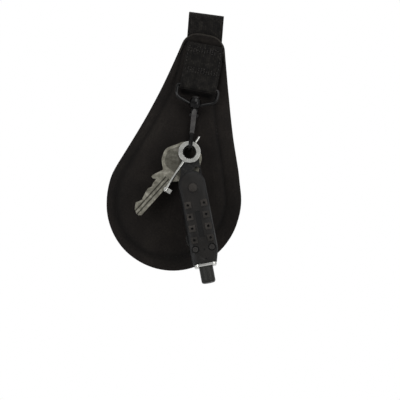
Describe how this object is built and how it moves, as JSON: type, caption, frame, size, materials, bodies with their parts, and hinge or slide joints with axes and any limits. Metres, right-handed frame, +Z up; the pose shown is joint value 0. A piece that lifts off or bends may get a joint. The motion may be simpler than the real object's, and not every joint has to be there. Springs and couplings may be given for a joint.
{
  "type": "key holder",
  "caption": "Black padded duty-belt key holder: teardrop pad with a belt loop behind, and a strap and swivel snap hook in front carrying a handcuff key, a door key and a keyring tool.",
  "frame": {"origin": "centre of the belt slot, between the belt loop's two leaves", "axes": "+Z up the pad, -Y out of the pad's front, +X to the right seen from the front"},
  "size_m": [0.0948, 0.0471, 0.1906],
  "materials": {
    "black_nylon": "matt woven, lightly brushed",
    "black_webbing": "matt webbing",
    "foam": "closed-cell foam, hidden",
    "black_metal": "blackened, satin",
    "bare_steel": "brushed",
    "nickel_plate": "bright nickel, handled",
    "nickel_silver": "grey nickel silver, worn",
    "black_plastic": "moulded, fine texture",
    "spring_steel": "drawn wire"
  },
  "bodies": {
    "pad": {"pad_front_panel": "black_nylon", "pad_core": "foam", "pad_back_panel": "black_nylon", "belt_loop": "black_webbing", "hook_strap": "black_webbing"},
    "swivel_loop": {"d_loop": "black_metal"},
    "hook": {"swivel_stud": "black_metal", "hook_body": "black_metal", "gate_pin": "black_metal", "gate_spring": "spring_steel"},
    "gate": {"gate_lever": "bare_steel"},
    "cuff_key": {"cuff_key_ring": "nickel_plate", "cuff_key_shaft": "nickel_plate", "cuff_key_bit": "nickel_plate", "cuff_key_pin": "nickel_plate"},
    "door_key": {"door_key": "nickel_silver"},
    "tool": {"tool_bail": "black_metal", "tool_front_shell": "black_plastic", "tool_rear_shell": "black_plastic", "head_rivet": "black_plastic", "shell_screw_left": "black_metal", "shell_screw_right": "black_metal", "side_clip": "black_metal", "end_plate": "bare_steel", "nose_spring": "spring_steel"},
    "end_cap": {"end_cap": "black_plastic"}
  },
  "joints": [
    {"name": "loop_swing", "type": "hinge", "parent": "pad", "child": "swivel_loop", "pos_m": [0.0022, -0.0125, -0.027], "axis": [-1, 0, 0], "range_deg": [0, 120]},
    {"name": "hook_swivel", "type": "hinge", "parent": "swivel_loop", "child": "hook", "pos_m": [0.0022, -0.01417, -0.03888], "axis": [-0.0698, 0.1388, 0.9879], "range_deg": [-15, 15]},
    {"name": "gate_swing", "type": "hinge", "parent": "hook", "child": "gate", "pos_m": [0.00283, -0.0174, -0.0475], "axis": [0.9976, 0.0097, 0.0691], "range_deg": [0, 25], "stiffness_Nm_per_rad": 0.02, "springref_deg": -28.65, "deforming": ["gate_spring"]},
    {"name": "cuff_key_swing", "type": "hinge", "parent": "hook", "child": "cuff_key", "pos_m": [0.00454, -0.01882, -0.07198], "axis": [0, 0.9903, -0.1392], "range_deg": [-4, 60]},
    {"name": "door_key_swing", "type": "hinge", "parent": "hook", "child": "door_key", "pos_m": [0.00454, -0.01882, -0.07198], "axis": [0, 0.9903, -0.1392], "range_deg": [-40, 48]},
    {"name": "tool_swing", "type": "hinge", "parent": "hook", "child": "tool", "pos_m": [0.00454, -0.01882, -0.07198], "axis": [0, -0.9903, 0.1392], "range_deg": [-2, 50]},
    {"name": "end_cap_press", "type": "slide", "parent": "tool", "child": "end_cap", "axis": [-0.3567, 0.13, 0.9251], "range_m": [0, 0.003], "stiffness_N_per_m": 800, "springref_m": -0.002, "deforming": ["nose_spring"]}
  ]
}
